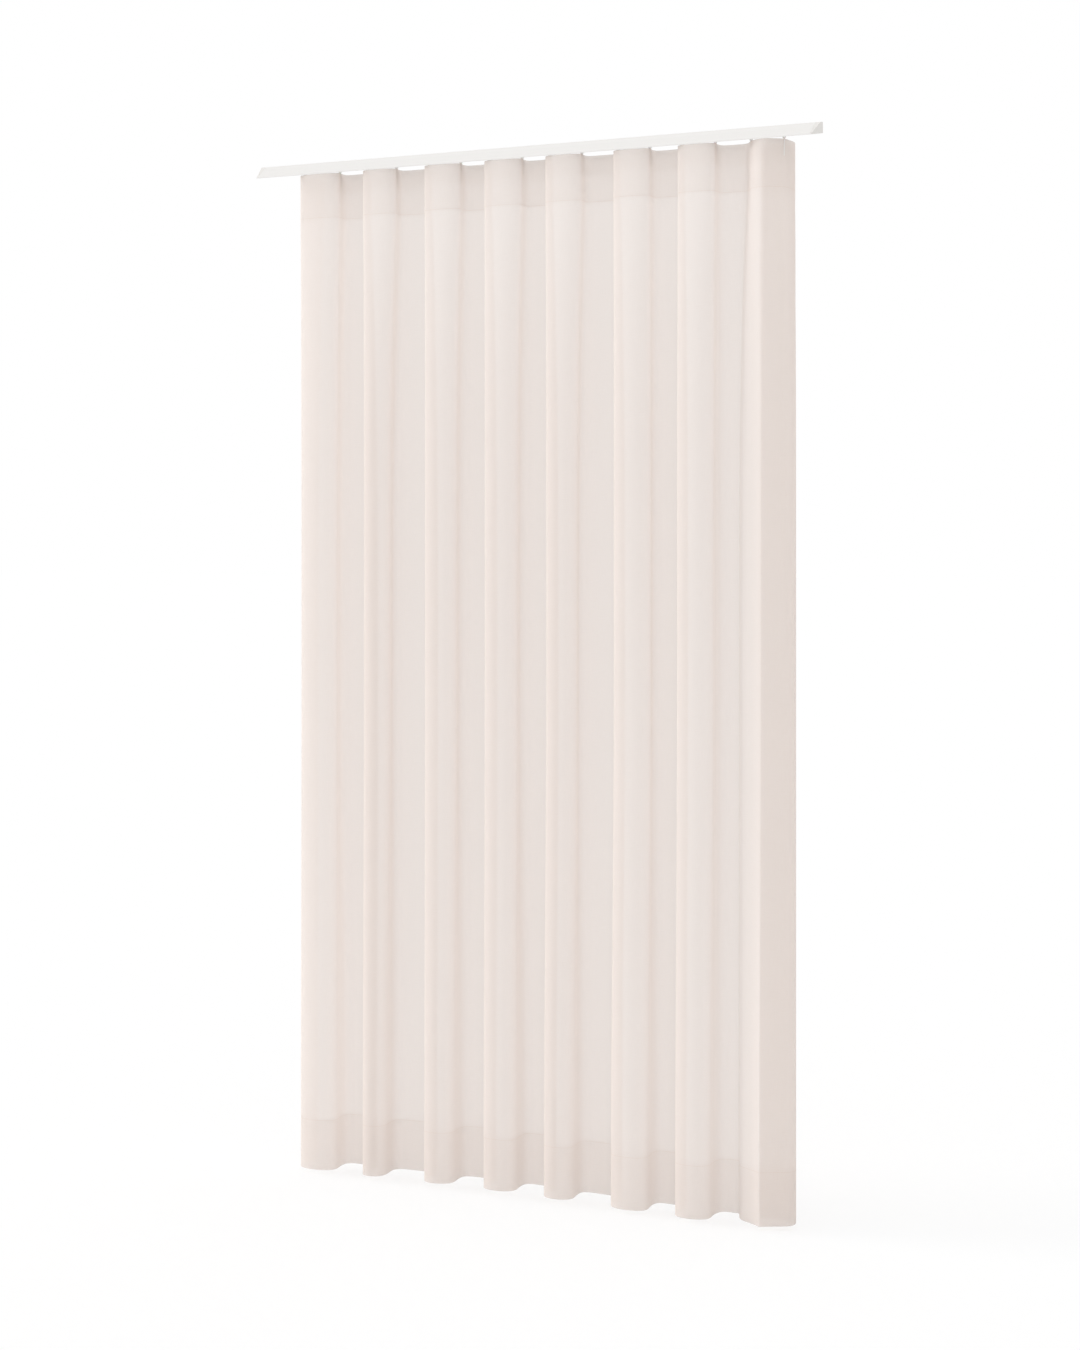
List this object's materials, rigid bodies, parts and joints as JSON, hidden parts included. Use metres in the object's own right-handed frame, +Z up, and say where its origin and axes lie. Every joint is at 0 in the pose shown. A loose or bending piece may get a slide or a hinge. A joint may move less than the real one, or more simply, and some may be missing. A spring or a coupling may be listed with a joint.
{
  "type": "sheer curtain on a rail",
  "caption": "Sheer curtain in even wave folds, doubled at heading and hem, hung by hooks and sliding gliders from a slim white rail with a slanting front.",
  "frame": {"origin": "the middle of the rail's flat back face, where wall brackets hold it", "axes": "+X along the rail to the right as seen from the room, +Y from the room towards the wall, +Z up"},
  "size_m": [1.4754, 0.1365, 2.4323],
  "materials": {
    "rail": "white powder coat on an extruded aluminium rail",
    "end_cap": "moulded white plastic",
    "stop": "moulded white nylon",
    "screw": "plated steel",
    "glider": "moulded white nylon, slightly waxy",
    "hook": "moulded white nylon",
    "tape": "translucent woven heading tape",
    "sheer": "sheer plain-weave voile, pale warm beige, matt"
  },
  "bodies": {
    "root": {"rail": "rail", "end_cap_left": "end_cap", "end_cap_right": "end_cap", "anchor_stop": "stop", "anchor_screw": "screw", "hook_00": "hook", "end_stop": "stop", "end_stop_screw": "screw", "heading_tape": "tape", "curtain": "sheer"},
    "carrier_01": {"glider_01": "glider", "hook_01": "hook"},
    "carrier_02": {"glider_02": "glider", "hook_02": "hook"},
    "carrier_03": {"glider_03": "glider", "hook_03": "hook"},
    "carrier_04": {"glider_04": "glider", "hook_04": "hook"},
    "carrier_05": {"glider_05": "glider", "hook_05": "hook"},
    "carrier_06": {"glider_06": "glider", "hook_06": "hook"},
    "carrier_07": {"glider_07": "glider", "hook_07": "hook"},
    "carrier_08": {"glider_08": "glider", "hook_08": "hook"},
    "carrier_09": {"glider_09": "glider", "hook_09": "hook"},
    "carrier_10": {"glider_10": "glider", "hook_10": "hook"},
    "carrier_11": {"glider_11": "glider", "hook_11": "hook"},
    "carrier_12": {"glider_12": "glider", "hook_12": "hook"},
    "carrier_13": {"glider_13": "glider", "hook_13": "hook"},
    "carrier_14": {"glider_14": "glider", "hook_14": "hook"},
    "lead_carrier": {"glider_15": "glider", "hook_15": "hook"}
  },
  "joints": [
    {"name": "curtain_draw", "type": "slide", "parent": "root", "child": "lead_carrier", "axis": [1, 0, 0], "range_m": [-1.0432, 0], "deforming": ["curtain", "heading_tape"]},
    {"name": "carrier_01_slide", "type": "slide", "parent": "root", "child": "carrier_01", "axis": [1, 0, 0], "range_m": [-0.0861, 0]},
    {"name": "carrier_02_slide", "type": "slide", "parent": "root", "child": "carrier_02", "axis": [1, 0, 0], "range_m": [-0.1497, 0]},
    {"name": "carrier_03_slide", "type": "slide", "parent": "root", "child": "carrier_03", "axis": [1, 0, 0], "range_m": [-0.2167, 0]},
    {"name": "carrier_04_slide", "type": "slide", "parent": "root", "child": "carrier_04", "axis": [1, 0, 0], "range_m": [-0.2923, 0]},
    {"name": "carrier_05_slide", "type": "slide", "parent": "root", "child": "carrier_05", "axis": [1, 0, 0], "range_m": [-0.3643, 0]},
    {"name": "carrier_06_slide", "type": "slide", "parent": "root", "child": "carrier_06", "axis": [1, 0, 0], "range_m": [-0.4259, 0]},
    {"name": "carrier_07_slide", "type": "slide", "parent": "root", "child": "carrier_07", "axis": [1, 0, 0], "range_m": [-0.4999, 0]},
    {"name": "carrier_08_slide", "type": "slide", "parent": "root", "child": "carrier_08", "axis": [1, 0, 0], "range_m": [-0.5585, 0]},
    {"name": "carrier_09_slide", "type": "slide", "parent": "root", "child": "carrier_09", "axis": [1, 0, 0], "range_m": [-0.6275, 0]},
    {"name": "carrier_10_slide", "type": "slide", "parent": "root", "child": "carrier_10", "axis": [1, 0, 0], "range_m": [-0.7051, 0]},
    {"name": "carrier_11_slide", "type": "slide", "parent": "root", "child": "carrier_11", "axis": [1, 0, 0], "range_m": [-0.7721, 0]},
    {"name": "carrier_12_slide", "type": "slide", "parent": "root", "child": "carrier_12", "axis": [1, 0, 0], "range_m": [-0.8377, 0]},
    {"name": "carrier_13_slide", "type": "slide", "parent": "root", "child": "carrier_13", "axis": [1, 0, 0], "range_m": [-0.9057, 0]},
    {"name": "carrier_14_slide", "type": "slide", "parent": "root", "child": "carrier_14", "axis": [1, 0, 0], "range_m": [-0.9784, 0]}
  ],
  "couplings": [
    {"joint": "carrier_01_slide", "follows": "curtain_draw", "ratio": 0.08241},
    {"joint": "carrier_02_slide", "follows": "curtain_draw", "ratio": 0.14343},
    {"joint": "carrier_03_slide", "follows": "curtain_draw", "ratio": 0.20761},
    {"joint": "carrier_04_slide", "follows": "curtain_draw", "ratio": 0.28013},
    {"joint": "carrier_05_slide", "follows": "curtain_draw", "ratio": 0.3491},
    {"joint": "carrier_06_slide", "follows": "curtain_draw", "ratio": 0.4082},
    {"joint": "carrier_07_slide", "follows": "curtain_draw", "ratio": 0.47909},
    {"joint": "carrier_08_slide", "follows": "curtain_draw", "ratio": 0.53531},
    {"joint": "carrier_09_slide", "follows": "curtain_draw", "ratio": 0.60141},
    {"joint": "carrier_10_slide", "follows": "curtain_draw", "ratio": 0.67585},
    {"joint": "carrier_11_slide", "follows": "curtain_draw", "ratio": 0.74003},
    {"joint": "carrier_12_slide", "follows": "curtain_draw", "ratio": 0.80296},
    {"joint": "carrier_13_slide", "follows": "curtain_draw", "ratio": 0.8681},
    {"joint": "carrier_14_slide", "follows": "curtain_draw", "ratio": 0.93775}
  ]
}
